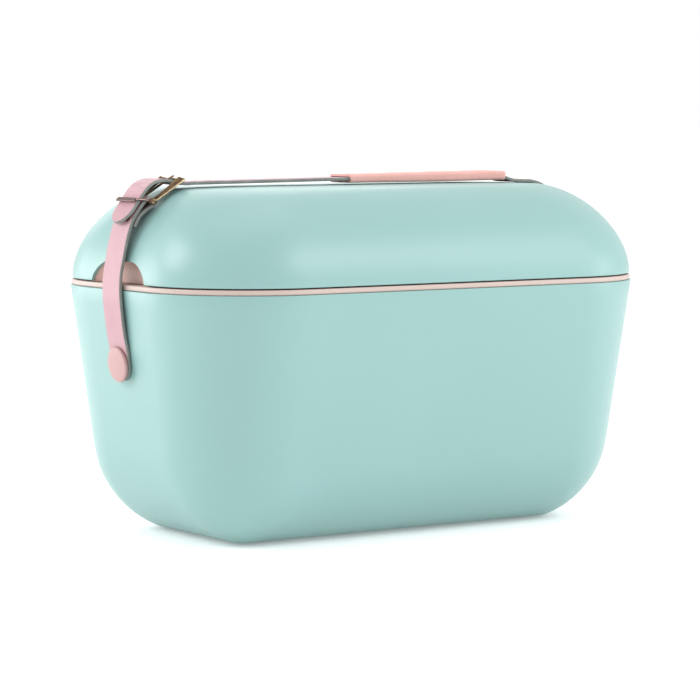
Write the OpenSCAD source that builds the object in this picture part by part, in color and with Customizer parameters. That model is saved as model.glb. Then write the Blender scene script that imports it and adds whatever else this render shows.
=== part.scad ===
// Insulated picnic cooler chest: a tapered tub with a domed lift-off lid,
// held shut by a buckled leather carry strap with a sliding grip.
// Origin: centre of the footprint on the surface it stands on. X runs along the
// chest, the buckle is at -X, and Z is up. Millimetres.

/* [Chest] */
// Length over the rim
chest_l = 420; // [380:1:460]
// Width over the rim
chest_w = 262; // [240:1:290]
// Height of the outer shell, without the feet
shell_h = 184; // [170:1:200]
// Height of the rubber feet
foot_h = 2; // [1:0.5:4]
// How far each end wall leans in per millimetre of height
end_draft = 0.12; // [0.05:0.01:0.15]
// How far each long wall leans in per millimetre of height
side_draft = 0.168; // [0.05:0.002:0.18]
// Plan corner radius at the rim
rim_corner_r = 86; // [70:1:95]
// Plan corner radius at the base
base_corner_r = 10; // [6:1:20]
// Height of the rounded heel under each end wall
end_heel_h = 68; // [50:1:80]
// Depth of the rounded heel under each end wall
end_heel_d = 72; // [50:1:76]
// Height of the rounded heel under each long wall
side_heel_h = 54; // [45:1:65]
// Depth of the rounded heel under each long wall
side_heel_d = 62; // [40:1:64]

/* [Lid] */
// Height of the lid dome
lid_h = 67.2; // [60:0.2:75]
// How far the lid stands in from the rim, at the ends
lid_inset = 1.8; // [1:0.1:3]
// Depth of the dome's rounding at the ends
dome_end = 50; // [42:1:56]
// Depth of the dome's rounding along the long sides
dome_side = 64; // [55:1:70]
// Squareness of the dome's rounding: 1 is a bevel, 2 is an ellipse
dome_power = 1.67; // [1.5:0.01:2]
// Plan corner radius at the top of the dome
dome_corner_r = 68; // [60:1:80]
// Extra rise of the dome's middle
crown = 1; // [0.2:0.1:2]
// Height of the finger notch in each end of the lid
notch_h = 15.2; // [12:0.2:19]
// Width of the finger notch at its base
notch_w = 76; // [66:1:84]

/* [Walls] */
// Outer and inner shell thickness
skin_t = 2.5; // [2:0.1:3]
// Insulating foam thickness
foam_t = 14.8; // [12:0.2:15]
// Height of the inner liner's visible rim band
band_h = 4; // [3:0.5:5]
// Gap between the rim band and the lid
lid_gap = 1.5; // [1:0.1:2.5]

/* [Strap] */
// Width of the leather strap
strap_w = 25; // [22:0.5:26]
// Thickness of the leather
strap_t = 2.4; // [2:0.1:2.6]
// Height of the fixing studs above the ground
stud_z = 132; // [130:0.5:136]
// Length of the sliding grip
grip_l = 146; // [100:1:150]
// Distance between the buckle's heel bar and its toe bar
buckle_l = 30.4; // [29:0.2:32]

/* [Hidden] */

$fn = 48;

corner_steps = 10;      // facets round each plan corner
heel_steps = 9;         // levels up the rounded heel
dome_steps = 9;         // levels up the dome's rounding
crown_rings = 3;        // rings across the dome's middle
curve_steps = 5;        // straight pieces between two waypoints of the strap

foam_fit = 0.2;         // clearance round each foam block
foam_out = skin_t + foam_fit;
foam_in = foam_out + foam_t;
liner_out = foam_in + foam_fit;
liner_in = liner_out + skin_t;
band_inset = 0.8;       // the rim band stands this far in from the shell
lid_base = shell_h + band_h + lid_gap;
lid_side_inset = lid_inset * 0.6;
lid_corner_r = rim_corner_r - lid_inset;

plug_out = liner_in + 6.8;      // the lid's plug, measured in from the rim
plug_in = plug_out + skin_t;
plug_drop = 13.5;               // how far the plug reaches below the lid's edge
flange_t = 2;
lid_flange = lid_inset + skin_t + foam_fit;
gasket_out = 15.7;
gasket_in = 19.2;
gasket_fit = 0.05;

notch_top = 34;         // flat top of the finger notch
notch_power = 1.6;
notch_wall = 2;
notch_back = chest_l / 2 - 13.5;
notch_front = chest_l / 2 - 10.5;
pull_from = notch_back - notch_wall;    // where each finger pull starts
pull_fit = 0.2;

mint = [0.66, 0.84, 0.82];
peach = [0.90, 0.80, 0.74];
pink = [0.91, 0.72, 0.74];
bronze = [0.63, 0.54, 0.42];
foam_white = [0.94, 0.93, 0.88];
rubber_grey = [0.25, 0.25, 0.25];
seal_white = [0.84, 0.78, 0.74];
steel = [0.70, 0.70, 0.68];

// ---------- curves ----------

function reverse(list) = [for (i = [len(list) - 1:-1:0]) list[i]];
function unit(v) = v / norm(v);

// A superellipse quarter: how far up, 0 to 1, at turn t, and how far in at height up.
function quarter_up(t, power) = pow(sin(t), 2 / power);
function quarter_in(up, power) = 1 - pow(1 - pow(min(up, 1), power), 1 / power);

// Direction of a path at waypoint i, nearer to its shorter neighbour's.
function heading(p, i) =
    i == 0 ? unit(p[1] - p[0])
    : i == len(p) - 1 ? unit(p[i] - p[i - 1])
    : let (back = p[i] - p[i - 1], ahead = p[i + 1] - p[i])
      unit(back / pow(norm(back), 2) + ahead / pow(norm(ahead), 2));

function hermite(a, b, ma, mb, t) =
    a * (2 * pow(t, 3) - 3 * pow(t, 2) + 1) + ma * (pow(t, 3) - 2 * pow(t, 2) + t)
    + b * (3 * pow(t, 2) - 2 * pow(t, 3)) + mb * (pow(t, 3) - pow(t, 2));

function hermite_slope(a, b, ma, mb, t) =
    (a - b) * (6 * pow(t, 2) - 6 * t) + ma * (3 * pow(t, 2) - 4 * t + 1)
    + mb * (3 * pow(t, 2) - 2 * t);

// Points of the smooth path from waypoint i0 to i1, moved sideways by shift.
// A positive shift is to the left of the direction of travel.
function path_points(p, i0, i1, shift) = [
    for (i = [i0:i1 - 1])
        let (span = norm(p[i + 1] - p[i]), ma = heading(p, i) * span, mb = heading(p, i + 1) * span)
        for (k = [0:(i == i1 - 1 ? curve_steps : curve_steps - 1)])
            let (
                t = k / curve_steps,
                at = hermite(p[i], p[i + 1], ma, mb, t),
                way = unit(hermite_slope(p[i], p[i + 1], ma, mb, t))
            )
            [at[0] - way[1] * shift, at[1] + way[0] * shift]
];

// ---------- chest and lid form ----------

function heel(z, h) = z >= h ? 0 : 1 - sqrt(1 - pow((h - z) / (h * 1.08), 2));
function end_inset(z) = end_draft * (shell_h - z) + end_heel_d * heel(z, end_heel_h);
function side_inset(z) = side_draft * (shell_h - z) + side_heel_d * heel(z, side_heel_h);
function corner_r(z) =
    rim_corner_r - (rim_corner_r - base_corner_r) * end_inset(z) / end_inset(0);

// A rounded rectangle with half sizes a and b, counterclockwise from above.
function ring(a, b, r, z) =
    let (c = max(2, min(r, a - 1, b - 1)))
    [
        for (q = [0:3], k = [0:corner_steps])
            let (
                t = 90 * (q + k / corner_steps),
                cx = (q == 0 || q == 3) ? a - c : c - a,
                cy = q < 2 ? b - c : c - b
            )
            [cx + c * cos(t), cy + c * sin(t), foot_h + z]
    ];

// The chest's section at height z, at a depth d below its outer surface.
function chest_ring(z, d) =
    let (s = max(z - d, 0))
    ring(chest_l / 2 - end_inset(s) - d, chest_w / 2 - side_inset(s) - d, corner_r(s) - d, z);

chest_levels = concat(
    [for (i = [0:heel_steps]) end_heel_h * pow(i / heel_steps, 1.4)],
    [shell_h]
);
function chest_layer(d, top) = [for (z = chest_levels) chest_ring(min(z + d, top), d)];

// The rim's plan outline, d in from the edge, at height z.
function rim_ring(d, z) = ring(chest_l / 2 - d, chest_w / 2 - d, rim_corner_r - d, z);

// The dome's section at height z, at a depth d below its outer surface.
function dome_ring(z, d) =
    let (up = (z - lid_base + d) / lid_h, k = quarter_in(up, dome_power))
    ring(
        chest_l / 2 - lid_inset - dome_end * k - d,
        chest_w / 2 - lid_side_inset - dome_side * k - d,
        lid_corner_r + (dome_corner_r - lid_corner_r) * up - d,
        z
    );

// The dome at a depth d below its outer surface, from height bottom to its crown.
function lid_layer(d, bottom) =
    let (
        top_a = chest_l / 2 - lid_inset - dome_end - d,
        top_b = chest_w / 2 - lid_side_inset - dome_side - d
    )
    concat(
        [dome_ring(bottom, d)],
        [
            for (i = [1:dome_steps])
                let (z = lid_base + lid_h * quarter_up(90 * i / dome_steps, dome_power) - d)
                if (z > bottom + 1) dome_ring(z, d)
        ],
        [
            for (i = [1:crown_rings])
                let (s = 1 - i / (crown_rings + 0.5), cut = top_b * (1 - s))
                ring(top_a - cut, top_b * s, top_b * s, lid_base + lid_h - d + crown * (1 - s * s))
        ]
    );

// A closed solid through rings, with a flat cap on its first ring and its last.
module loft(rings) {
    n = len(rings[0]);
    m = len(rings);
    polyhedron(
        points = [for (r = rings, p = r) p],
        faces = concat(
            [[for (j = [0:n - 1]) j]],
            [
                for (i = [0:m - 2], j = [0:n - 1])
                    let (a = i * n + j, b = i * n + (j + 1) % n)
                    for (f = [[a, a + n, b + n], [a, b + n, b]]) f
            ],
            [[for (j = [n - 1:-1:0]) (m - 1) * n + j]]
        )
    );
}

// The finger notch's outline, in width and height above the lid's edge.
module notch_outline(grow) {
    function side(s) = [
        for (i = [0:8])
            let (
                up = quarter_up(s > 0 ? 90 * i / 8 : 90 - 90 * i / 8, notch_power),
                flare = (notch_w - notch_top) / 2 * (1 - quarter_in(up, notch_power))
            )
            [s * (notch_top / 2 + flare + grow), (notch_h + grow) * up]
    ];
    half = notch_w / 2 + grow;
    polygon(concat([[half, -10]], side(1), side(-1), [[-half, -10]]));
}

// The notch's block between two distances from the middle, at one end.
module notch(side, from, to, grow) {
    mirror([side < 0 ? 1 : 0, 0, 0])
        translate([from, 0, foot_h + lid_base])
            rotate([90, 0, 90])
                linear_extrude(to - from)
                    notch_outline(grow);
}

module notches(from, to, grow) {
    for (side = [-1, 1])
        notch(side, from, to, grow);
}

module chest_shell() {
    color(mint)
        difference() {
            loft(concat(chest_layer(0, shell_h), reverse(chest_layer(skin_t, shell_h))));
            for (side = [-1, 1])
                at_stud(side)
                    cylinder(h = 20, r = stud_r + 0.1, center = true);
        }
}

module chest_foam() {
    top = shell_h - foam_fit;
    color(foam_white)
        difference() {
            loft(concat(chest_layer(foam_out, top), reverse(chest_layer(foam_in, top))));
            for (side = [-1, 1])
                at_stud(side)
                    translate([0, 0, -nut_pocket_h])
                        cylinder(h = nut_pocket_h + 5, r = nut_pocket_r);
        }
}

module chest_liner() {
    top = shell_h + band_h;
    color(peach)
        loft(concat(
            chest_layer(liner_out, shell_h),
            [rim_ring(band_inset, shell_h), rim_ring(band_inset, top)],
            reverse(chest_layer(liner_in, top))
        ));
}

module rubber_feet() {
    foot_x = 116;
    foot_y = 40;
    color(rubber_grey)
        for (x = [-foot_x, foot_x], y = [-foot_y, foot_y])
            translate([x, y, 0])
                cylinder(h = foot_h, r = 11);
}

module lid_shell() {
    color(mint)
        difference() {
            loft(concat(reverse(lid_layer(skin_t, lid_base)), lid_layer(0, lid_base)));
            notches(notch_back - 6, chest_l / 2 + 10, 0);
        }
}

module lid_foam() {
    plug_floor = lid_base - plug_drop + skin_t + foam_fit;
    deck = lid_base + flange_t + foam_fit;
    d = plug_in + foam_fit;
    color(foam_white)
        difference() {
            loft(concat([rim_ring(d, plug_floor), rim_ring(d, deck)], lid_layer(foam_out, deck)));
            notches(pull_from - foam_fit, chest_l / 2 + 10, notch_wall + foam_fit);
        }
}

module lid_liner() {
    deck = lid_base + flange_t;
    color(peach)
        intersection() {
            loft([
                rim_ring(plug_out, lid_base - plug_drop),
                rim_ring(plug_out, lid_base),
                rim_ring(lid_flange, lid_base),
                rim_ring(lid_flange, deck),
                rim_ring(plug_in, deck),
                rim_ring(plug_in, lid_base - plug_drop + skin_t)
            ]);
            translate([0, 0, foot_h + lid_base])
                cube([2 * (pull_from - pull_fit), chest_w, 60], center = true);
        }
}

// The end of the lid's flange, with the hood of its finger notch.
module finger_pull(side) {
    flange = [for (p = rim_ring(lid_flange, 0)) [p[0], p[1]]];
    color(peach)
        difference() {
            union() {
                translate([0, 0, foot_h + lid_base])
                    linear_extrude(flange_t)
                        intersection() {
                            polygon(flange);
                            translate([side * (pull_from + chest_l / 2), 0])
                                square([chest_l, chest_w], center = true);
                        }
                intersection() {
                    notch(side, pull_from, notch_front, notch_wall);
                    translate([0, 0, foot_h + lid_base + 50])
                        cube([2 * chest_l, chest_w, 100], center = true);
                }
            }
            notch(side, notch_back, chest_l / 2 + 10, 0);
        }
}

module lid_gasket() {
    function outline(d) = [for (p = rim_ring(d, 0)) [p[0], p[1]]];
    color(seal_white)
        translate([0, 0, foot_h + shell_h + band_h + gasket_fit])
            linear_extrude(lid_gap - gasket_fit)
                difference() {
                    polygon(outline(gasket_out));
                    polygon(outline(gasket_in));
                }
}

// ---------- studs ----------

stud_r = 3;
stud_reach = 9;         // length of the stud behind the wall's outer face
stud_flange_r = 7;
stud_flange_t = 0.6;
nut_pocket_r = 9;
nut_pocket_h = 12;
cap_r = 13;
cap_t = 3;
wall_tilt = atan(end_draft);
wall_n = skin_t * (1 + end_draft) * cos(wall_tilt);     // the end wall's thickness, square to it

// Puts its children on the outer face of an end wall, with +Z pointing out of it.
module at_stud(side) {
    wall = chest_l / 2 - end_inset(stud_z - foot_h);
    translate([side * wall, 0, stud_z])
        rotate([0, side * (90 + wall_tilt), 0])
            children();
}

module stud(side) {
    color(bronze)
        at_stud(side) {
            translate([0, 0, -stud_reach])
                cylinder(h = stud_reach + strap_lift + strap_t, r = stud_r);
            cylinder(h = stud_flange_t, r = stud_flange_r);
        }
}

module stud_nut(side) {
    nut_h = 4;
    color(steel)
        at_stud(side)
            translate([0, 0, -wall_n - nut_h])
                difference() {
                    cylinder(h = nut_h, r = 6.4, $fn = 6);
                    translate([0, 0, -1])
                        cylinder(h = nut_h + 2, r = stud_r, $fn = 48);
                }
}

module stud_cap(side) {
    edge = 1;
    color(pink)
        at_stud(side)
            translate([0, 0, strap_lift + strap_t])
                rotate_extrude()
                    polygon(concat(
                        [[0, 0], [cap_r, 0]],
                        [for (a = [0:15:90]) [cap_r - edge + edge * cos(a), cap_t - edge + edge * sin(a)]],
                        [[0, cap_t]]
                    ));
}

// ---------- strap ----------

strap_lift = 0.8;       // the strap's inner face stands this far off the end wall
fold_r = 1.75;          // inner radius of the strap's fold round the heel bar
heel_bar_r = 1.6;
toe_bar_r = 1.3;
buckle_at = [-186.5, 250.1];
buckle_tilt = 31.6;     // the buckle's slope on the lid's shoulder
slot_w = 5;             // slot in the fold, and in the tail, for the prong

// The inner face of the left strap in X and Z: up from the stud, over the lid's
// shoulder, round the heel bar and back under itself.
fold_from = 131;
left_path = concat(
    [
        [-202.7, 119.5], [-206.5, 150], [-208.7, 168], [-211, 187], [-210.7, 197],
        [-208.2, 210], [-204.2, 226], [-200.4, 236], [-196, 243]
    ],
    [for (a = [fold_from:-30:fold_from - 180]) buckle_at + fold_r * [cos(a), sin(a)]],
    [[-190.8, 245.1], [-197, 240.2], [-201.3, 232.6]]
);

// The straight run along the lid's top, on which the grip slides.
run_right = 133;
run_left = -150;
run_rise = 0.0095;
function on_run(x) = [x, 261.5 + run_rise * (x - run_left)];

// The inner face of the rest of the strap: up from the right stud, over the lid and
// the grip's rise, under the toe bar, over the heel bar and down to the tail's tip.
right_path = concat(
    [
        [202.7, 119.5], [206.5, 150], [208.7, 168], [211, 187], [210.4, 198],
        [205.6, 212.6], [197.9, 228.8], [191.8, 238], [187.2, 243.5], [177, 252.6],
        [170.7, 256.2], [160.2, 259.5], [150, 260.4], [142, 261.4]
    ],
    [for (x = [run_right, run_right - 6, run_left + 6, run_left]) on_run(x)],
    [
        [-158, 261.3], [-164, 262.1], [-170, 263.4], [-177, 263.9], [-183, 262.6],
        [-188.6, 258.9], [-193.8, 252.7], [-199.2, 245.3], [-207.8, 234]
    ]
);
tab_end = 1;            // waypoint where each tab ends
shoulder = 6;           // waypoint where the right strap ends
tail_start = 17;        // waypoint where the tail starts
tail_end = len(right_path) - 1;

// A strap of full width along a path, lying on the left side of its direction for
// side 1 and on the right side for side -1.
module strap(p, i0, i1, side) {
    rotate([90, 0, 0])
        linear_extrude(strap_w, center = true)
            polygon(concat(
                path_points(p, i0, i1, 0),
                reverse(path_points(p, i0, i1, side * strap_t))
            ));
}

// A blank with a round end about a point, running on in the direction of tilt.
module round_end(at, tilt, reach) {
    depth = 120;
    translate([at[0], 0, at[1]])
        rotate([0, tilt, 0]) {
            cylinder(h = depth, r = strap_w / 2, center = true);
            translate([0, -strap_w / 2, -depth / 2])
                cube([reach, strap_w, depth]);
        }
}

module strap_tab(p, side) {
    wall = chest_l / 2 - end_inset(stud_z - foot_h);
    color(pink)
        difference() {
            intersection() {
                strap(p, 0, tab_end, -side);
                round_end([side * wall, stud_z], -90 + side * wall_tilt, 60);
            }
            at_stud(side) {
                cylinder(h = 20, r = stud_r + 0.15);
                cylinder(h = strap_lift, r = stud_flange_r + 0.5);
            }
        }
}

module left_strap() {
    color(pink)
        difference() {
            strap(left_path, tab_end, len(left_path) - 1, 1);
            translate([buckle_at[0] - 1, 0, buckle_at[1] - 1])
                cube([13, slot_w, 13], center = true);
            for (y = [-rivet_y, rivet_y])
                at_rivet(y)
                    cylinder(h = 30, r = rivet_r + 0.1, center = true);
        }
}

rivet_r = 1.5;
rivet_y = 6;
rivet_at = [-199.95, 236.2];
rivet_tilt = -62;

module at_rivet(y) {
    translate([rivet_at[0], y, rivet_at[1]])
        rotate([0, rivet_tilt, 0])
            children();
}

module left_strap_rivets() {
    grip = strap_t + 0.8;
    color(bronze)
        for (y = [-rivet_y, rivet_y])
            at_rivet(y) {
                translate([0, 0, -grip])
                    cylinder(h = 2 * grip, r = rivet_r);
                translate([0, 0, grip])
                    cylinder(h = 0.7, r = 2.6);
                translate([0, 0, -grip - 0.8])
                    cylinder(h = 0.8, r = 2.6);
            }
}

module right_strap() {
    color(pink)
        strap(right_path, tab_end, shoulder, -1);
}

module top_strap() {
    hole_xs = [-142, -130, -118];
    color(pink)
        difference() {
            strap(right_path, shoulder, tail_start, -1);
            for (x = hole_xs)
                translate([x, 0, buckle_at[1]])
                    cylinder(h = 40, r = 1.8);
        }
}

module strap_tail() {
    tip = right_path[tail_end];
    way = unit(right_path[tail_end - 1] - tip);
    color(pink)
        difference() {
            intersection() {
                strap(right_path, tail_start, tail_end, -1);
                round_end(tip + way * strap_w / 2, -atan2(way[1], way[0]), 90);
            }
            translate([-168, 0, 264.5])
                cube([14, slot_w - 1, 12], center = true);
        }
}

module grip_sleeve() {
    wall = 1.6;
    fit = 0.4;
    end = on_run(run_right);
    color([0.93, 0.69, 0.66])
        translate([end[0], 0, end[1]])
            rotate([0, -atan(run_rise), 0])
                translate([-grip_l, 0, strap_t / 2])
                    rotate([90, 0, 90])
                        linear_extrude(grip_l)
                            difference() {
                                square([strap_w + 2 * (fit + wall), strap_t + 2 * (fit + wall)], center = true);
                                square([strap_w + 2 * fit, strap_t + 2 * fit], center = true);
                            }
}

// ---------- buckle ----------

side_plate_t = 2.5;
side_plate_y = 13.9;
prong_r = 1;

// Puts its children on the heel bar's axis, with +X pointing to the toe bar.
module at_buckle() {
    translate([buckle_at[0], 0, buckle_at[1]])
        rotate([0, -buckle_tilt, 0])
            children();
}

module across(at, r, length) {
    translate([at[0], 0, at[1]])
        rotate([90, 0, 0])
            cylinder(h = length, r = r, center = true);
}

toe_at = [buckle_l, -0.4];

module buckle_frame() {
    heel_half = 2.3;
    toe_half = 2;
    color(bronze)
        at_buckle() {
            difference() {
                for (side = [-1, 1])
                    translate([0, side * (side_plate_y + side_plate_t / 2), 0])
                        rotate([90, 0, 0])
                            linear_extrude(side_plate_t, center = true)
                                polygon(concat(
                                    [for (a = [90:15:270]) heel_half * [cos(a), sin(a)]],
                                    [for (a = [-90:15:90]) toe_at + toe_half * [cos(a), sin(a)]]
                                ));
                across([0, 0], heel_bar_r, 60);
            }
            across(toe_at, toe_bar_r, 2 * side_plate_y);
        }
}

module buckle_heel_bar() {
    knob_t = 1;
    bar_y = side_plate_y + side_plate_t;
    color(bronze)
        at_buckle() {
            across([0, 0], heel_bar_r, 2 * bar_y);
            for (side = [-1, 1])
                translate([0, side * (bar_y + knob_t / 2), 0])
                    across([0, 0], heel_bar_r + 0.9, knob_t);
        }
}

module buckle_prong() {
    root_w = 3.6;
    root_r = 3;
    rise = [2.1, toe_at[1] + toe_bar_r + prong_r + 0.15];
    run = [1, buckle_l + 1.8];
    slope = atan2(rise[1] - rise[0], run[1] - run[0]);
    color(bronze)
        at_buckle() {
            difference() {
                union() {
                    across([0, 0], root_r, root_w);
                    translate([run[0], 0, rise[0]])
                        rotate([0, 90 - slope, 0])
                            cylinder(h = norm([run[1] - run[0], rise[1] - rise[0]]), r = prong_r);
                }
                across([0, 0], heel_bar_r + 0.06, 2 * root_w);
            }
        }
}

keeper_at = [-200.3, 251.5];    // middle of the keeper's band
keeper_tilt = 45.5;             // the band's slope, along the strap under it

// The keeper: a band over the tail, on two arms that turn on the heel bar.
module strap_keeper() {
    band_w = 4;
    band_t = 1.2;
    arm_t = 0.8;
    arm_r = 0.8;
    eye_r = 2.5;
    half = strap_w / 2 + 1.2;
    reach = buckle_at - keeper_at;
    turn = atan2(reach[1], reach[0]);
    color(bronze)
        difference() {
            union() {
                translate([keeper_at[0], 0, keeper_at[1]])
                    rotate([0, -keeper_tilt, 0])
                        cube([band_w, 2 * half, band_t], center = true);
                for (side = [-1, 1])
                    translate([0, side * (half - arm_t / 2), 0])
                        rotate([90, 0, 0])
                            linear_extrude(arm_t, center = true) {
                                polygon(concat(
                                    [for (a = [90:15:270]) keeper_at + arm_r * [cos(a + turn), sin(a + turn)]],
                                    [for (a = [-90:15:90]) buckle_at + arm_r * [cos(a + turn), sin(a + turn)]]
                                ));
                                translate(buckle_at)
                                    circle(eye_r);
                            }
            }
            across(buckle_at, heel_bar_r + 0.06, 60);
        }
}

chest_shell();
chest_foam();
chest_liner();
rubber_feet();
stud(-1);  // left_stud
stud_nut(-1);  // left_stud_nut
stud_cap(-1);  // left_stud_cap
strap_tab(left_path, -1);  // left_strap_tab
stud(1);  // right_stud
stud_nut(1);  // right_stud_nut
stud_cap(1);  // right_stud_cap
strap_tab(right_path, 1);  // right_strap_tab
lid_shell();
lid_foam();
lid_liner();
finger_pull(-1);  // left_finger_pull
finger_pull(1);  // right_finger_pull
lid_gasket();
left_strap();
left_strap_rivets();
buckle_frame();
buckle_heel_bar();
buckle_prong();
strap_keeper();
right_strap();
top_strap();
strap_tail();
grip_sleeve();
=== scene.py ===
# Insulated picnic cooler with a buckled leather carry strap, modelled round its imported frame.
# Lengths inside this script are millimetres from the frame's origin until a mesh is made.
import math

import bmesh
import bpy
import numpy as np
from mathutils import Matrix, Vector


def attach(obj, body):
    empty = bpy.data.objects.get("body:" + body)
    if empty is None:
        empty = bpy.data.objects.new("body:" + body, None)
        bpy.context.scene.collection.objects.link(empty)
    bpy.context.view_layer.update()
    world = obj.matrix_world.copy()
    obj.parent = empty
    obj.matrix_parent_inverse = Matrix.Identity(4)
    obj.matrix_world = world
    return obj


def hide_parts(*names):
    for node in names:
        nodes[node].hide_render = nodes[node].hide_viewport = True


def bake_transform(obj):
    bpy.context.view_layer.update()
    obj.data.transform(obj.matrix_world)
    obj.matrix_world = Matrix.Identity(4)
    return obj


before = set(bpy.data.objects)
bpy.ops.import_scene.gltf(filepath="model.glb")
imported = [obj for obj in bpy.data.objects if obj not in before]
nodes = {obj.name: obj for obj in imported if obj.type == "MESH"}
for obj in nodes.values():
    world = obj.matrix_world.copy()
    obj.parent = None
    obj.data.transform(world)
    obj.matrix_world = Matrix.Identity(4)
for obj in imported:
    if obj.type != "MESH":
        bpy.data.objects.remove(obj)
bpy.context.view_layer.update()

MM = 0.001

# ---------- the frame's own sizes ----------

FOOT_H = 2.0
HALF_L = 210.0
HALF_W = 131.0
SHELL_H = 184.0
END_DRAFT, SIDE_DRAFT = 0.12, 0.168
END_HEEL_H, END_HEEL_D = 68.0, 72.0
SIDE_HEEL_H, SIDE_HEEL_D = 54.0, 62.0
HEEL_SPAN = 1.08
RIM_R, BASE_R = 86.0, 10.0
SKIN = 2.5
LINER_OUT, LINER_IN = 17.7, 20.2
BAND_H, BAND_INSET = 4.0, 0.8
LID_BASE = SHELL_H + BAND_H + 1.5
LID_H, CROWN = 67.2, 1.0
LID_END_INSET, LID_SIDE_INSET = 1.8, 1.08
SKIRT = 0.5               # the lid's edge below its flange
DOME_END, DOME_SIDE, DOME_POWER = 50.0, 64.0, 1.67
LID_R, DOME_R = 84.2, 68.0
PLUG_OUT, PLUG_IN, PLUG_DROP = 27.0, 29.5, 13.5
FLANGE_OUT, FLANGE_T = 4.5, 2.0
NOTCH_H, NOTCH_HALF, NOTCH_TOP_HALF, NOTCH_POWER = 15.2, 38.0, 17.0, 1.6
NOTCH_BACK = 196.5

STUD_Z = 132.0
STRAP_W, STRAP_T, STRAP_LIFT = 25.0, 2.4, 0.8
CAP_R, CAP_T = 13.0, 3.0
BUCKLE_AT, BUCKLE_TILT = (-186.5, 250.1), 31.6
KEEPER_AT, KEEPER_TILT = (-200.3, 251.5), 45.5
HEEL_AT = (BUCKLE_AT[0], 0, BUCKLE_AT[1])
HEEL_BAR_R = 1.6
EYE_R = HEEL_BAR_R + 0.08
SIDES = ((-1, "left"), (1, "right"))


# ---------- meshes ----------

def loft(rings, closed=False):
    """Points and faces of a skin through rings of equal length, capped at both ends or closed on itself."""
    n = len(rings[0])
    m = len(rings)
    points = np.concatenate([np.asarray(r, float) for r in rings])
    faces = []
    for i in range(m if closed else m - 1):
        low, high = i * n, (i + 1) % m * n
        faces += [(low + j, low + (j + 1) % n, high + (j + 1) % n, high + j) for j in range(n)]
    if not closed:
        faces.append(tuple(range(n - 1, -1, -1)))
        faces.append(tuple(range((m - 1) * n, m * n)))
    return points, faces


def joined(*shapes):
    """Several separate closed skins as one."""
    points, faces, start = [], [], 0
    for shape_points, shape_faces in shapes:
        points.append(shape_points)
        faces += [tuple(i + start for i in face) for face in shape_faces]
        start += len(shape_points)
    return np.concatenate(points), faces


def finish_mesh(mesh, sharp):
    """Faces outward, smooth but for edges sharper than an angle in degrees."""
    work = bmesh.new()
    work.from_mesh(mesh)
    bmesh.ops.recalc_face_normals(work, faces=work.faces)
    work.to_mesh(mesh)
    work.free()
    mesh.shade_smooth()
    mesh.set_sharp_from_angle(angle=math.radians(sharp))


def add_object(name, data):
    made = bpy.data.objects.new(name, data)
    bpy.context.scene.collection.objects.link(made)
    return made


def solid(name, shape, materials, sharp=38, face_slots=None, uvs=None):
    """An object from points in millimetres and faces. uvs holds one pair per face corner."""
    points, faces = shape
    mesh = bpy.data.meshes.new(name)
    mesh.from_pydata([tuple(p) for p in np.asarray(points) * MM], [], faces)
    for made in materials:
        mesh.materials.append(made)
    if face_slots is not None:
        mesh.polygons.foreach_set("material_index", face_slots)
    if uvs is not None:
        layer = mesh.uv_layers.new(name="UVMap")
        layer.data.foreach_set("uv", np.asarray(uvs, np.float32).ravel())
    finish_mesh(mesh, sharp)
    return add_object(name, mesh)


def cut(piece, cutter, sharp=38):
    """Takes the cutter's shape out of the piece."""
    taken = piece.modifiers.new("cut", "BOOLEAN")
    taken.operation = "DIFFERENCE"
    taken.solver = "EXACT"
    taken.object = cutter
    bpy.context.view_layer.update()
    graph = bpy.context.evaluated_depsgraph_get()
    mesh = bpy.data.meshes.new_from_object(piece.evaluated_get(graph))
    piece.modifiers.clear()
    piece.data = mesh
    bpy.data.objects.remove(cutter)
    mesh.set_sharp_from_angle(angle=math.radians(sharp))


def mark(piece, name, amounts):
    """Stores one number for each point, which the leather reads as flex and the brass as wear."""
    layer = piece.data.attributes.new(name, "FLOAT", "POINT")
    layer.data.foreach_set("value", np.asarray(amounts, np.float32))


def place(piece, body, slot, *replaced):
    """Rides a piece on a body in the place of CAD nodes. The slot is not used."""
    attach(piece, body)
    if replaced:
        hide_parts(*replaced)


def spread(count):
    """Fractions from 0 to 1, close together at both ends."""
    return [0.5 - 0.5 * math.cos(math.pi * k / count) for k in range(count + 1)]


CORNER_STEPS = 20


def ring(a, b, r, z):
    """A rounded rectangle with half sizes a and b at height z, counterclockwise from above."""
    r = max(min(r, a - 0.5, b - 0.5), 0.3)
    centres = [(a - r, b - r), (r - a, b - r), (r - a, r - b), (a - r, r - b)]
    points = []
    for q, (cx, cy) in enumerate(centres):
        for k in range(CORNER_STEPS + 1):
            t = math.pi / 2 * (q + k / CORNER_STEPS)
            points.append((cx + r * math.cos(t), cy + r * math.sin(t), z))
        turn = math.pi / 2 * (q + 1)
        nx, ny = centres[(q + 1) % 4]
        start = points[-1]
        end = (nx + r * math.cos(turn), ny + r * math.sin(turn))
        for f in spread(8)[1:-1]:
            points.append((start[0] + (end[0] - start[0]) * f, start[1] + (end[1] - start[1]) * f, z))
    return points


def round_angles(count):
    """Even steps once round a circle."""
    return [2 * math.pi * k / count for k in range(count)]


def lathe(profile, steps, origin, axis, side):
    """Rings of a turned shape, from (radius, height) pairs along its axis."""
    axis, side, origin = Vector(axis).normalized(), Vector(side).normalized(), Vector(origin)
    other = axis.cross(side)
    return [
        [tuple(origin + axis * h + (side * math.cos(t) + other * math.sin(t)) * r)
         for t in round_angles(steps)]
        for r, h in profile
    ]


def turned_across(profile, steps, at=HEEL_AT, side=1, closed=False):
    """A shape turned about an axis that runs across the cooler, by default the heel bar's."""
    return loft(lathe(profile, steps, at, (0, side, 0), (1, 0, 0)), closed)


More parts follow.
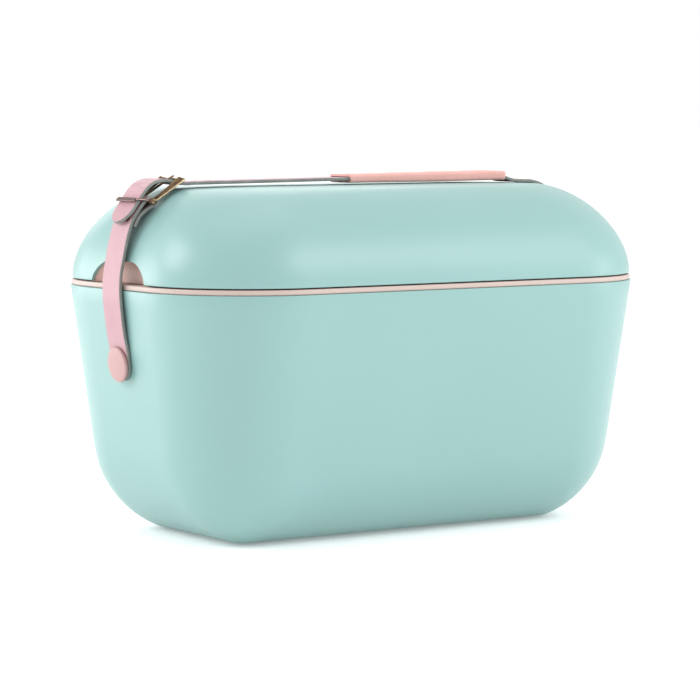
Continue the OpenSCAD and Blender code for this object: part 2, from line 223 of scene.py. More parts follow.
def arc(cx, cy, r, start, end, steps):
    """Points on an arc from one angle to another, in degrees."""
    turns = [math.radians(start + (end - start) * k / steps) for k in range(steps + 1)]
    return [(cx + r * math.cos(t), cy + r * math.sin(t)) for t in turns]


# ---------- materials ----------

# Texture scales are in features per metre, and bump distances in metres.

class Look:
    """A node material: a shader, and short calls that add and link nodes."""

    def __init__(self, name, **constants):
        self.material = bpy.data.materials.new(name)
        self.material.use_nodes = True
        self.tree = self.material.node_tree
        self.shader = self.tree.nodes["Principled BSDF"]
        for socket, value in constants.items():
            self.shader.inputs[socket.replace("_", " ")].default_value = value

    def add(self, kind, inputs, **settings):
        node = self.tree.nodes.new(kind)
        for key, value in settings.items():
            setattr(node, key, value)
        for key, value in inputs.items():
            if isinstance(value, bpy.types.NodeSocket):
                self.tree.links.new(value, node.inputs[key])
            else:
                node.inputs[key].default_value = value
        return node

    def place(self, scale=(1, 1, 1), uv=False):
        """Coordinates in metres times a scale, along and across the leather if uv."""
        source = self.add("ShaderNodeTexCoord", {}).outputs["UV" if uv else "Object"]
        return self.add("ShaderNodeMapping", {"Vector": source, "Scale": scale}).outputs[0]

    def noise(self, vector, scale, detail=3.0, rough=0.5):
        inputs = {"Vector": vector, "Scale": scale, "Detail": detail, "Roughness": rough}
        return self.add("ShaderNodeTexNoise", inputs).outputs["Fac"]

    def cells(self, vector, scale):
        return self.add("ShaderNodeTexVoronoi", {"Vector": vector, "Scale": scale}).outputs["Distance"]

    def range(self, value, low, high, to_low=0.0, to_high=1.0):
        inputs = {"Value": value, "From Min": low, "From Max": high, "To Min": to_low, "To Max": to_high}
        return self.add("ShaderNodeMapRange", inputs).outputs[0]

    def math(self, kind, a, b):
        return self.add("ShaderNodeMath", {0: a, 1: b}, operation=kind).outputs[0]

    def mix(self, factor, a, b):
        return self.add("ShaderNodeMix", {0: factor, 6: a, 7: b}, data_type="RGBA").outputs[2]

    def bump(self, height, strength, distance, normal=None):
        inputs = {"Height": height, "Strength": strength, "Distance": distance}
        if normal is not None:
            inputs["Normal"] = normal
        return self.add("ShaderNodeBump", inputs).outputs[0]

    def attribute(self, name):
        return self.add("ShaderNodeAttribute", {}, attribute_name=name).outputs["Fac"]

    def done(self, colour, rough=None, normal=None):
        """Links the finished channels to the shader and gives the material."""
        for socket, value in (("Base Color", colour), ("Roughness", rough), ("Normal", normal)):
            if value is not None:
                self.tree.links.new(value, self.shader.inputs[socket])
        return self.material


def rgb(red, green, blue):
    """A linear colour from sRGB values of 0 to 255."""
    def linear(value):
        value /= 255
        return value / 12.92 if value <= 0.04045 else ((value + 0.055) / 1.055) ** 2.4
    return (linear(red), linear(green), linear(blue), 1.0)


def plastic(name, light, dark, gloss, texture):
    """Moulded plastic: slow tone drift, a fine etched texture and a faint unevenness of the wall."""
    look = Look(name)
    where = look.place()
    drift = look.noise(where, 9, 2)
    speck = look.noise(where, 1400, 2)
    colour = look.mix(look.range(drift, 0.3, 0.7), light, dark)
    grain = look.bump(speck, texture, 0.00012)
    wall = look.bump(look.noise(where, 55, 1), 0.05, 0.0006, grain)
    rough = look.range(look.noise(where, 400, 4), 0.3, 0.7, gloss - 0.03, gloss + 0.04)
    return look.done(colour, rough, wall)


def leather(name, base, deep, pale):
    """Dyed leather's grain side: pebbles, pores, slow dye drift, and creases where it bends."""
    look = Look(name)
    where = look.place(uv=True)
    pebbles = {"Vector": where, "Scale": 950.0, "Randomness": 0.9}
    cells = look.add("ShaderNodeTexVoronoi", pebbles, feature="SMOOTH_F1").outputs["Distance"]
    pores = look.noise(where, 2600, 3)
    drift = look.noise(where, 42, 3)
    blotch = look.noise(where, 260, 4)
    crease_at = look.place((210, 16, 1), uv=True)
    crease = look.range(look.noise(crease_at, 1.6, 5, 0.6), 0.47, 0.56)
    flex = look.attribute("flex")
    worn = look.math("MULTIPLY", look.range(crease, 0, 1, 1, 0), flex)
    colour = look.mix(look.range(drift, 0.3, 0.7), base, deep)
    colour = look.mix(look.range(blotch, 0.35, 0.75, 0, 0.35), colour, deep)
    colour = look.mix(look.range(cells, 0.25, 0.75, 0, 0.22), colour, deep)
    colour = look.mix(look.math("MULTIPLY", worn, 0.55), colour, pale)
    height = look.math("ADD", look.range(cells, 0, 1, 1, 0), look.math("MULTIPLY", pores, 0.35))
    grain = look.bump(height, 0.35, 0.00022)
    folds = look.bump(look.math("MULTIPLY", crease, flex), 0.5, 0.0006, grain)
    rough = look.range(look.noise(where, 900, 3), 0.3, 0.7, 0.46, 0.6)
    return look.done(colour, rough, folds)


def fibrous(name, base, deep, pale, rough_mid):
    """A cut leather edge or its flesh side: short fibres that run along the strap."""
    look = Look(name)
    where = look.place(uv=True)
    along = look.place((1, 5, 1), uv=True)
    fibre = look.noise(along, 420, 6, 0.7)
    drift = look.noise(where, 60, 3)
    colour = look.mix(look.range(fibre, 0.35, 0.65), deep, base)
    colour = look.mix(look.range(drift, 0.45, 0.8, 0, 0.5), colour, pale)
    nap = look.bump(fibre, 0.5, 0.00025)
    rough = look.range(fibre, 0.3, 0.7, rough_mid - 0.06, rough_mid + 0.06)
    return look.done(colour, rough, nap)


def aged_brass(name, bright, brown, dark):
    """Brass browned in its hollows and rubbed bright along its edges."""
    look = Look(name, Metallic=1.0)
    where = look.place()
    mottle = look.noise(where, 240, 5, 0.65)
    smear = look.noise(where, 900, 4, 0.6)
    wear = look.math("ADD", look.attribute("wear"), look.range(smear, 0.3, 0.7, -0.35, 0.35))
    colour = look.mix(look.range(mottle, 0.35, 0.65), dark, brown)
    colour = look.mix(look.range(wear, 0.35, 0.95), colour, bright)
    rough = look.range(look.math("SUBTRACT", mottle, wear), -0.6, 0.6, 0.26, 0.5)
    pits = look.bump(look.noise(where, 1500, 4, 0.6), 0.25, 0.0002)
    dents = look.bump(look.noise(where, 130, 2), 0.15, 0.0006, pits)
    return look.done(colour, rough, dents)


def plain_steel(name):
    """Zinc-plated steel with a fine spangle."""
    look = Look(name, Metallic=1.0)
    where = look.place()
    spangle = look.cells(where, 600)
    colour = look.mix(look.range(spangle, 0, 0.8), (0.62, 0.62, 0.60, 1), (0.44, 0.45, 0.45, 1))
    rough = look.range(look.noise(where, 700, 3), 0.3, 0.7, 0.3, 0.45)
    return look.done(colour, rough, look.bump(spangle, 0.1, 0.0001))


def beaded_foam(name):
    """Expanded foam, with its beads pressed together."""
    look = Look(name)
    where = look.place()
    beads = look.cells(where, 300)
    colour = look.mix(look.range(beads, 0.1, 0.7), rgb(238, 234, 220), rgb(206, 200, 182))
    rough = look.range(look.noise(where, 500, 3), 0.3, 0.7, 0.75, 0.9)
    return look.done(colour, rough, look.bump(beads, 0.6, -0.0008))


def rubber(name, base, dusty):
    """Matt rubber with a film of dust."""
    look = Look(name)
    where = look.place()
    dust = look.noise(where, 120, 5, 0.6)
    colour = look.mix(look.range(dust, 0.45, 0.75, 0, 0.6), base, dusty)
    rough = look.range(dust, 0.3, 0.7, 0.6, 0.78)
    skin = look.bump(look.noise(where, 1500, 2), 0.2, 0.0001)
    return look.done(colour, rough, skin)


def thread(name):
    """Twisted thread, a little darker than the grip."""
    look = Look(name)
    where = look.place()
    twist = look.noise(where, 1800, 4)
    colour = look.mix(look.range(twist, 0.3, 0.7), rgb(214, 160, 152), rgb(188, 132, 124))
    rough = look.range(twist, 0.3, 0.7, 0.6, 0.75)
    return look.done(colour, rough, look.bump(twist, 0.6, 0.0002))


mint = plastic("mint_plastic", rgb(133, 170, 167), rgb(131, 168, 165), 0.36, 0.05)
peach = plastic("peach_plastic", rgb(186, 169, 161), rgb(183, 165, 157), 0.46, 0.08)
peach_deep = plastic("peach_plastic_inside", rgb(208, 168, 157), rgb(204, 163, 151), 0.5, 0.08)
cap_pink = plastic("cap_pink", rgb(176, 139, 137), rgb(172, 135, 133), 0.42, 0.12)
pink_leather = leather("pink_leather", rgb(181, 143, 150), rgb(174, 134, 142), rgb(195, 165, 169))
grip_leather = leather("grip_leather", rgb(219, 166, 158), rgb(211, 157, 149), rgb(226, 182, 175))
raw_edge = fibrous("leather_edge", rgb(130, 133, 129), rgb(98, 101, 98), rgb(156, 156, 151), 0.6)
flesh_side = fibrous("leather_flesh", rgb(138, 130, 128), rgb(112, 105, 103), rgb(160, 152, 148), 0.85)
brass = aged_brass("antique_brass", (0.56, 0.44, 0.27, 1), (0.22, 0.14, 0.08, 1), (0.09, 0.055, 0.035, 1))
bronze_pink = aged_brass("rose_bronze", (0.33, 0.21, 0.20, 1), (0.17, 0.105, 0.10, 1), (0.09, 0.055, 0.05, 1))
steel = plain_steel("zinc_steel")
foam = beaded_foam("insulating_foam")
seal_rubber = rubber("seal_rubber", rgb(214, 192, 180), rgb(196, 172, 160))
grey_rubber = rubber("grey_rubber", rgb(58, 60, 60), rgb(96, 98, 96))
seam_thread = thread("seam_thread")

for node_name, finish in (
    ("chest_foam", foam), ("lid_foam", foam),
    ("left_stud", brass), ("right_stud", brass),
    ("left_stud_nut", steel), ("right_stud_nut", steel),
):
    for material_slot in nodes[node_name].material_slots:
        material_slot.material = finish


# ---------- chest ----------

def heel(h, height):
    """How far the wall has curved in at height h, as a share of the heel's depth."""
    return 0.0 if h >= height else 1 - math.sqrt(1 - ((height - h) / (height * HEEL_SPAN)) ** 2)


def end_inset(h):
    return END_DRAFT * (SHELL_H - h) + END_HEEL_D * heel(h, END_HEEL_H)


def side_inset(h):
    return SIDE_DRAFT * (SHELL_H - h) + SIDE_HEEL_D * heel(h, SIDE_HEEL_H)


def chest_ring(h, depth, least_r=0.3):
    """The chest's section at height h above its base, at a depth below its outer face."""
    s = max(h - depth, 0)
    r = RIM_R - (RIM_R - BASE_R) * end_inset(s) / end_inset(0)
    return ring(
        HALF_L - end_inset(s) - depth, HALF_W - side_inset(s) - depth,
        max(r - depth, least_r), FOOT_H + h,
    )


def rim_ring(depth, h):
    """The rim's outline at a depth inside the chest's widest face, at height h above its base."""
    return ring(HALF_L - depth, HALF_W - depth, RIM_R - depth, FOOT_H + h)


def chest_levels(steps):
    """Heights up the heel at even turns of its curve, then up the drafted wall."""
    most = math.asin(1 / HEEL_SPAN)
    turns = [most * (1 - k / steps) for k in range(steps + 1)]
    levels = [END_HEEL_H * (1 - HEEL_SPAN * math.sin(t)) for t in turns]
    wall = [90.0, 120.0, 150.0, 172.0]
    return levels + wall


def make_chest():
    base_a, base_b = HALF_L - end_inset(0), HALF_W - side_inset(0)
    lip = 0.8
    panel = [(36, 1.2), (34.6, 1.2), (33.2, 0.0), (3.0, 0.0)]    # inset and rise of the base's sunk panel
    outer = [ring(base_a - d, base_b - d, max(BASE_R - d, 5), FOOT_H + rise) for d, rise in panel]
    outer += [chest_ring(h, 0) for h in chest_levels(34)]
    outer += [rim_ring(lip - x, SHELL_H - lip + z) for x, z in arc(0, 0, lip, 0, 90, 4)]
    inner = [chest_ring(min(h + SKIN, SHELL_H), SKIN) for h in chest_levels(20)]
    inner.append(rim_ring(SKIN, SHELL_H))
    shell = solid("chest_shell_moulding", loft(outer + inner[::-1]), [mint])
    place(shell, "chest", "mint_plastic", "chest_shell")

    top = SHELL_H + BAND_H
    low_r, high_r, mouth_r = 1.5, 0.9, 1.8
    under = [chest_ring(min(h + LINER_OUT, SHELL_H), LINER_OUT, 5) for h in chest_levels(14)[:-1]]
    band = [rim_ring(LINER_OUT, SHELL_H), rim_ring(SKIN + 0.5, SHELL_H)]
    band += [rim_ring(BAND_INSET + low_r - x, SHELL_H + low_r + z)
             for x, z in arc(0, 0, low_r, -90, 0, 5)]
    band += [rim_ring(BAND_INSET + high_r - x, top - high_r + z)
             for x, z in arc(0, 0, high_r, 0, 90, 4)]
    band.append(rim_ring(LINER_IN - mouth_r - 2, top))
    band += [rim_ring(LINER_IN - mouth_r - x, top - mouth_r + z)
             for x, z in arc(0, 0, mouth_r, 90, 180, 5)]
    inside = [chest_ring(h + LINER_IN, LINER_IN, 7) for h in chest_levels(26)]
    inside = [r for r in inside if r[0][2] < FOOT_H + top - 6]
    liner = solid("chest_liner_moulding", loft(under + band + inside[::-1]), [peach])
    place(liner, "chest", "peach_plastic", "chest_liner")


def make_feet():
    foot_x, foot_y = 116, 40
    profile = [(0, 0.5), (2.4, 0.5), (2.8, 0.05), (5.0, 0.0), (5.4, 0.5), (7.2, 0.5), (7.6, 0.05)]
    profile += [(10.2, 0.0)] + [(10.2 + x, 0.8 + z) for x, z in arc(0, 0, 0.8, -90, 0, 4)]
    profile += [(11.0, FOOT_H - 0.05), (0, FOOT_H - 0.05)]
    profile = [(max(r, 0.02), h) for r, h in profile]
    pads = [
        loft(lathe(profile, 48, (x, y, 0), (0, 0, 1), (1, 0, 0)))
        for x in (-foot_x, foot_x) for y in (-foot_y, foot_y)
    ]
    place(solid("rubber_foot_pads", joined(*pads), [grey_rubber]), "chest", "rubber", "rubber_feet")


# ---------- lid ----------

def dome_in(up):
    """How far the dome has curved in at a share of its height, from 0 to 1."""
    return 1 - (1 - min(up, 1) ** DOME_POWER) ** (1 / DOME_POWER)


def dome_ring(h, depth):
    """The dome's section at height h, at a depth below its outer face."""
    up = max((h - LID_BASE + depth) / LID_H, 0)
    k = dome_in(up)
    return ring(
        HALF_L - LID_END_INSET - DOME_END * k - depth, HALF_W - LID_SIDE_INSET - DOME_SIDE * k - depth,
        LID_R + (DOME_R - LID_R) * up - depth, FOOT_H + h,
    )


def dome(depth, steps, start):
    """The dome's rings from its edge to its crown, at a depth below its outer face."""
    turns = [math.pi / 2 * k / steps for k in range(1, steps + 1)]
    heights = [LID_BASE + LID_H * math.sin(t) ** (2 / DOME_POWER) - depth for t in turns]
    rings = [dome_ring(h, depth) for h in heights if h > start]
    top_a = HALF_L - LID_END_INSET - DOME_END - depth
    top_b = HALF_W - LID_SIDE_INSET - DOME_SIDE - depth
    for s in (0.94, 0.85, 0.74, 0.62, 0.5, 0.38, 0.26, 0.15, 0.06):
        rise = LID_H - depth + CROWN * (1 - s * s)
        rings.append(ring(top_a - top_b * (1 - s), top_b * s, top_b * s, FOOT_H + LID_BASE + rise))
    return rings


def notch_outline():
    """The finger notch's arch from one foot to the other, as widths and heights over the lid's edge."""
    steps = 28
    points = []
    for side in (1, -1):
        half = []
        for k in range(steps + 1):
            up = math.sin(math.pi / 2 * k / steps) ** (2 / NOTCH_POWER)
            flare = (NOTCH_HALF - NOTCH_TOP_HALF) * (1 - up ** NOTCH_POWER) ** (1 / NOTCH_POWER)
            half.append((side * (NOTCH_TOP_HALF + flare), NOTCH_H * up))
        points += half if side > 0 else half[::-1]
    return points


def notch_cutter(x_from, side):
    """A block with the notch's outline, from a distance behind the lid's end to well outside it."""
    below = -10
    outline = [(NOTCH_HALF, below)] + notch_outline() + [(-NOTCH_HALF, below)]
    rings = [[(side * x, y, FOOT_H + LID_BASE + z) for y, z in outline] for x in (x_from, HALF_L + 10)]
    return solid("cutter", loft(rings), [])


def lid_face(z):
    """How far out the dome's end stands at a height over its edge."""
    return HALF_L - LID_END_INSET - DOME_END * dome_in(max(z, 0) / LID_H)


def notch_scoop(side):
    """The moulded scoop behind a finger notch: its wall runs back from the arch and is hollow in plan."""
    wall, recess, drop = 1.4, 0.5, 1.1
    count, levels = 48, 26
    reach_y = NOTCH_HALF + 3.5

    def arch(y):
        """How high the notch's arch stands at a width."""
        over = (abs(y) - NOTCH_TOP_HALF) / (NOTCH_HALF - NOTCH_TOP_HALF)
        if over <= 0:
            return NOTCH_H
        return NOTCH_H * max(1 - over ** NOTCH_POWER, 0) ** (1 / NOTCH_POWER)

    def back(y, z, offset):
        """The hollow wall: deepest in the middle and low down, just inside the lid's skin at the sides."""
        hollow = max(1 - (abs(y) / (NOTCH_HALF + 1.0)) ** 2.2, 0)
        roof = min(max((arch(y) + 1.6 - z) / 9.0, 0), 1)
        curve = math.sqrt(max(1 - (1 - roof) ** 2, 0))
        skin = lid_face(max(z, 0)) - SKIN - recess
        return skin - (skin - NOTCH_BACK) * hollow * curve - offset

    def layer_rows(offset):
        rows = []
        for level in range(levels + 1):
            row = []
            for k in range(count + 1):
                y = reach_y * (2 * k / count - 1)
                top = max(arch(y) + 1.8, 1.4)
                z = -drop + (top + drop) * (level / levels)
                row.append((side * back(y, z, offset), y, FOOT_H + LID_BASE + z))
            rows.append(row)
        return rows

    visible, hidden = layer_rows(0.0), layer_rows(wall)
    n, m = len(visible[0]), len(visible)
    points = np.concatenate([np.asarray(r, float) for r in visible + hidden])
    faces = []
    for layer in (0, n * m):
        for i in range(m - 1):
            faces += [(layer + i * n + j, layer + i * n + j + 1, layer + (i + 1) * n + j + 1,
                       layer + (i + 1) * n + j) for j in range(n - 1)]
    rim = list(range(n)) + [i * n + n - 1 for i in range(1, m)]
    rim += [(m - 1) * n + j for j in range(n - 2, -1, -1)] + [i * n for i in range(m - 2, 0, -1)]
    faces += [(rim[k], rim[(k + 1) % len(rim)], rim[(k + 1) % len(rim)] + n * m, rim[k] + n * m)
              for k in range(len(rim))]
    return points, faces


def make_lid():
    lip = 0.7
    outer = [ring(HALF_L - LID_END_INSET - lip + x, HALF_W - LID_SIDE_INSET - lip + x,
                  LID_R - lip + x, FOOT_H + LID_BASE - SKIRT + lip + z)
             for x, z in arc(0, 0, lip, -90, 0, 4)]
    outer += dome(0, 46, LID_BASE + 2 * lip)
    inner = [ring(HALF_L - LID_END_INSET - SKIN, HALF_W - LID_SIDE_INSET - SKIN, LID_R - SKIN,
                  FOOT_H + LID_BASE - SKIRT)]
    inner += dome(SKIN, 24, LID_BASE + 1)
    shell = solid("lid_dome", loft(inner[::-1] + outer), [mint])
    for side in (-1, 1):
        cut(shell, notch_cutter(NOTCH_BACK - 6, side))
    place(shell, "lid", "mint_plastic", "lid_shell")

    floor = LID_BASE - PLUG_DROP
    r = 3.5
    plug = [rim_ring(PLUG_OUT + 24, floor + 1.6), rim_ring(PLUG_OUT + 22.5, floor + 1.5),
            rim_ring(PLUG_OUT + 20.5, floor + 0.2), rim_ring(PLUG_OUT + 19.5, floor)]
    plug += [rim_ring(PLUG_OUT + r - x, floor + r + z) for x, z in arc(0, 0, r, -90, 0, 6)]
    plug += [rim_ring(PLUG_OUT, LID_BASE - 1.2)]
    plug += [rim_ring(PLUG_OUT - 1.2 + x, LID_BASE - 1.2 + z) for x, z in arc(0, 0, 1.2, 0, 90, 4)]
    plug += [rim_ring(d, LID_BASE) for d in (19.6, 15.3, FLANGE_OUT + 0.5)]
    plug += [rim_ring(FLANGE_OUT, LID_BASE + 0.5), rim_ring(FLANGE_OUT, LID_BASE + FLANGE_T)]
    plug += [rim_ring(PLUG_IN, LID_BASE + FLANGE_T), rim_ring(PLUG_IN, floor + SKIN)]
    tray = solid("lid_inner_tray", loft(plug), [peach_deep])
    for side in (-1, 1):
        cut(tray, notch_cutter(NOTCH_BACK, side))
    place(tray, "lid", "peach_plastic", "lid_liner")
    for side, word in SIDES:
        scoop = solid(word + "_finger_scoop", notch_scoop(side), [peach_deep])
        place(scoop, "lid", "peach_plastic", word + "_finger_pull")


def make_gasket():
    low, high = SHELL_H + BAND_H + 0.06, LID_BASE
    mid = (low + high) / 2
    lip_r, lip_z = 0.68, mid - 0.05
    section = [(15.7, high), (15.7, mid)]
    section += [(16.4 + x, lip_z + z) for x, z in arc(0, 0, lip_r, 180, 270, 4)]
    section += [(17.0, low + 0.25), (17.9, low + 0.25)]
    section += [(18.5 + x, lip_z + z) for x, z in arc(0, 0, lip_r, 270, 360, 4)]
    section += [(19.2, high)]
    gasket = solid("lid_seal", loft([rim_ring(d, z) for d, z in section], closed=True), [seal_rubber])
    place(gasket, "lid", "seal_rubber", "lid_gasket")


# ---------- studs' caps ----------

def end_wall_frame(side):
    """Origin and outward direction of the end wall's face at the stud."""
    wall = HALF_L - end_inset(STUD_Z - FOOT_H)
    tilt = math.radians(90) + math.atan(END_DRAFT)
    return Vector((side * wall, 0, STUD_Z)), Vector((side * math.sin(tilt), 0, math.cos(tilt)))


def make_caps():
    low = STRAP_LIFT + STRAP_T - 0.05
    top = low + CAP_T
    r = 1.25
    profile = [(0.02, low), (CAP_R - r - 0.5, low)]
    profile += [(CAP_R - r + x, low + 0.25 + r + z) for x, z in arc(0, 0, r, -90, 0, 6)]
    profile += [(CAP_R - r + x, top - r + z) for x, z in arc(0, 0, r, 0, 90, 6)]
    profile += [(CAP_R * f, top + 0.35 * (1 - f * f)) for f in (0.75, 0.5, 0.25, 0.002)]
    for side, word in SIDES:
        origin, out = end_wall_frame(side)
        cap = solid(word + "_cap_disc", loft(lathe(profile, 72, origin, out, (0, 1, 0))), [cap_pink])
        place(cap, "chest", "pink_cap", word + "_stud_cap")


# ---------- leather ----------

def dense_path(points):
    """A smooth curve through the waypoints, as positions a small step apart."""
    points = [np.array(p, float) for p in points]
    last = len(points) - 1

    def heading(i):
        if i == 0 or i == last:
            v = points[1] - points[0] if i == 0 else points[last] - points[last - 1]
        else:
            back, ahead = points[i] - points[i - 1], points[i + 1] - points[i]
            v = back / np.dot(back, back) + ahead / np.dot(ahead, ahead)
        return v / np.linalg.norm(v)

    made = []
    for i in range(last):
        a, b = points[i], points[i + 1]
        span = np.linalg.norm(b - a)
        ma, mb = heading(i) * span, heading(i + 1) * span
        steps = max(int(span / 0.25), 6)
        for k in range(steps + (i == last - 1)):
            t = k / steps
            made.append(a * (2 * t**3 - 3 * t**2 + 1) + ma * (t**3 - 2 * t**2 + t)
                        + b * (3 * t**2 - 2 * t**3) + mb * (t**3 - t**2))
    return np.array(made)


def sampled(path, stations):
    """Positions, directions and bend, in radians per millimetre, at distances along a dense path."""
    step = np.linalg.norm(np.diff(path, axis=0), axis=1)
    along = np.concatenate([[0], np.cumsum(step)])

    def position(distances):
        return np.stack([np.interp(distances, along, path[:, k]) for k in (0, 1)], axis=1)

    reach = 0.6
    way = position(stations + reach) - position(stations - reach)
    way /= np.linalg.norm(way, axis=1)[:, None]
    turn = np.unwrap(np.arctan2(way[:, 1], way[:, 0]))
    return position(stations), way, np.abs(np.gradient(turn, stations))


ACROSS = 12              # faces across a strap's flat side
STRAP_STEP = 1.4         # between the sections along it
EDGE_R, EDGE_SWELL = 0.42, 0.12
GRAIN, EDGE, FLESH = 0, 1, 2


def strap_section(half):
    """A strap's section: (y, height) pairs from the inner face round, and each side's material."""
    r = min(EDGE_R, half * 0.8)
    side, top = half - r, STRAP_T - r
    bulge = half + EDGE_SWELL * min(1, half)
    flat = [(-half + r + 2 * side * k / ACROSS) for k in range(ACROSS + 1)]
    low = [(y, 0.0, FLESH) for y in flat[:-1]]
    near = [(side + x, r + z, EDGE) for x, z in arc(0, 0, r, -90, 0, 3)]
    near += [(bulge, STRAP_T / 2, EDGE)]
    near += [(side + x, top + z, EDGE) for x, z in arc(0, 0, r, 0, 90, 3)][:-1]
    high = [(y, STRAP_T, GRAIN) for y in flat[::-1][:-1]]
    far = [(-half + r + x, top + z, EDGE) for x, z in arc(0, 0, r, 90, 180, 3)]
    far += [(-bulge, STRAP_T / 2, EDGE)]
    far += [(-half + r + x, r + z, EDGE) for x, z in arc(0, 0, r, 180, 270, 3)][:-1]
    return low + near + high + far


def girth(section):
    """Distances round a closed section, from its first point back to it."""
    step = np.linalg.norm(np.roll(section, -1, axis=0) - section, axis=1)
    return np.concatenate([[0], np.cumsum(step)])


def wrap_uvs(lengths, around, caps):
    """A lofted skin's map in metres: along it and round it, then its two end faces."""
    uvs = []
    for a, b in zip(lengths[:-1], lengths[1:]):
        for c, d in zip(around[:-1], around[1:]):
            uvs += [(a, c), (a, d), (b, d), (b, c)]
    uvs += caps[0][::-1] + caps[1]
    return [(u * MM, v * MM) for u, v in uvs]


def strap(name, waypoints, side, start=0.0, end=None, tips=(False, False)):
    """A strap along a path in X and Z, its inner face on it. side 1 puts the outer face to the left,
    and tips rounds the ends."""
    path = dense_path(waypoints)
    end = float(np.sum(np.linalg.norm(np.diff(path, axis=0), axis=1))) if end is None else end
    stations = list(np.linspace(start, end, int((end - start) / STRAP_STEP) + 1))
    half_w = STRAP_W / 2
    turns = (10, 17, 24, 31, 38, 46, 54, 63, 72, 81, 90)
    near_tip = [half_w * (1 - math.cos(math.radians(a))) for a in turns]
    if tips[0]:
        stations = [start + d for d in near_tip] + [s for s in stations if s > start + half_w + 0.4]
    if tips[1]:
        stations = [s for s in stations if s < end - half_w - 0.4] + [end - d for d in near_tip[::-1]]
    stations = np.array(stations)
    at, way, bend = sampled(path, stations)
    normal = np.stack([-way[:, 1], way[:, 0]], axis=1) * side

    def half_at(s):
        """The strap's half width at a distance along it: less where an end is rounded."""
        half = half_w
        for rounded, gone in zip(tips, (s - start, end - s)):
            if rounded and gone < half_w:
                half = math.sqrt(max(half_w**2 - (half_w - gone) ** 2, 0.01))
        return half

    rings = []
    for (x, z), (nx, nz), s in zip(at, normal, stations):
        drift = 0.13 * math.sin(s * 0.071) + 0.07 * math.sin(s * 0.183 + 1.3)
        row = []
        for y, h, _ in strap_section(half_at(s)):
            swell = 0.05 * math.sin(s * 0.21 + y * 0.5) * math.cos(y * 0.33 - s * 0.06)
            height = h + (swell if h > STRAP_T - 0.01 else 0.0)
            row.append((x + nx * height, y + drift, z + nz * height))
        rings.append(row)
    section = strap_section(half_w)
    full = np.array([(y, h) for y, h, _ in section])
    slots = [part for _, _, part in section] * (len(rings) - 1) + [EDGE, EDGE]
    caps = [[(s + h, y) for y, h in full] for s in (stations[0], stations[-1])]
    uvs = wrap_uvs(stations, girth(full), caps)
    piece = solid(name, loft(rings), [pink_leather, raw_edge, flesh_side], 50, slots, uvs)
    smooth = np.convolve(np.pad(bend, 3, mode="edge"), np.ones(7) / 7, mode="valid")
    mark(piece, "flex", np.repeat(np.clip((smooth - 0.006) / 0.05, 0, 1), len(section)))
    return piece


def punch(piece, x, z, radius_x, radius_y, depth, tilt=0.0):
    """Punches an oval hole through a strap, its sides in the edge's material."""
    a = math.radians(tilt)
    out, along = Vector((-math.sin(a), 0, math.cos(a))), Vector((math.cos(a), 0, math.sin(a)))
    rings = []
    for h in (-depth, depth):
        middle = Vector((x, 0, z)) + out * h
        rings.append([
            tuple(middle + along * (radius_x * math.cos(t)) + Vector((0, radius_y * math.sin(t), 0)))
            for t in round_angles(28)
        ])
    cut(piece, solid("cutter", loft(rings), [raw_edge]), 50)


FOLD_R = 1.75            # of the strap's inner face round the heel bar
RUN_Z, RUN_RISE = 261.5, 0.0095


def on_run(x):
    """A point on the strap's straight run over the lid, which rises a little to the right."""
    return (x, RUN_Z + RUN_RISE * (x + 150))


LEFT_WAY = (
    [(-202.75, 119.5), (-205.25, 140), (-207.5, 152), (-210.2, 169), (-211.4, 184), (-210.9, 196),
     (-208.2, 210), (-204.3, 226), (-200.6, 236), (-196, 243)]
    + [(BUCKLE_AT[0] + x, BUCKLE_AT[1] + z) for x, z in arc(0, 0, FOLD_R, 131, -49, 6)]
    + [(-190.8, 245.1), (-197, 240.2), (-201.3, 232.6)]
)
RIGHT_WAY = (
    [(202.75, 119.5), (205.25, 140), (207.3, 152), (209.6, 169), (211, 187), (210.4, 198),
     (205.6, 212.6), (197.9, 228.8), (191.8, 238), (187.2, 243.5), (177, 252.6),
     (170.7, 255.9), (160.2, 258.95), (150, 259.35), (142, 260.0), (137, 261.3), (133, 262.7)]
    + [on_run(x) for x in (126, 120, -144, -150)]
    + [(-158, 261.3), (-164, 262.1), (-170, 263.4), (-177, 263.9), (-183, 262.6),
       (-188.6, 258.9), (-193.8, 252.7), (-199.2, 245.3), (-207.8, 234)]
)
RIGHT_JOIN = 72.0        # where the right side's two lengths meet, along the strap
HOLES_AT, HOLE_R = (-142, -130, -118), 1.9


def blend_over_stud(piece):
    """Bakes a strap's placement into its mesh."""
    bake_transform(piece)


def make_straps():
    left = strap("left_buckle_strap", LEFT_WAY, 1, tips=(True, False))
    punch(left, BUCKLE_AT[0] + 1.0, BUCKLE_AT[1] + 1.6, 6.5, 2.6, 7.5, 40)
    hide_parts("left_strap_tab", "left_strap")
    blend_over_stud(left)

    low = strap("right_lower_strap", RIGHT_WAY, -1, end=RIGHT_JOIN, tips=(True, False))
    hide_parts("right_strap_tab")
    blend_over_stud(low)

    carry = strap("carry_strap", RIGHT_WAY, -1, start=RIGHT_JOIN, tips=(False, True))
    for x in HOLES_AT:
        punch(carry, x, 262.5, HOLE_R, HOLE_R, 8)
    punch(carry, -168, 264.3, 6.2, HOLE_R, 8, -8)      # the hole that the prong sits in
    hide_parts("right_strap", "top_strap", "strap_tail")
    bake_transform(carry)


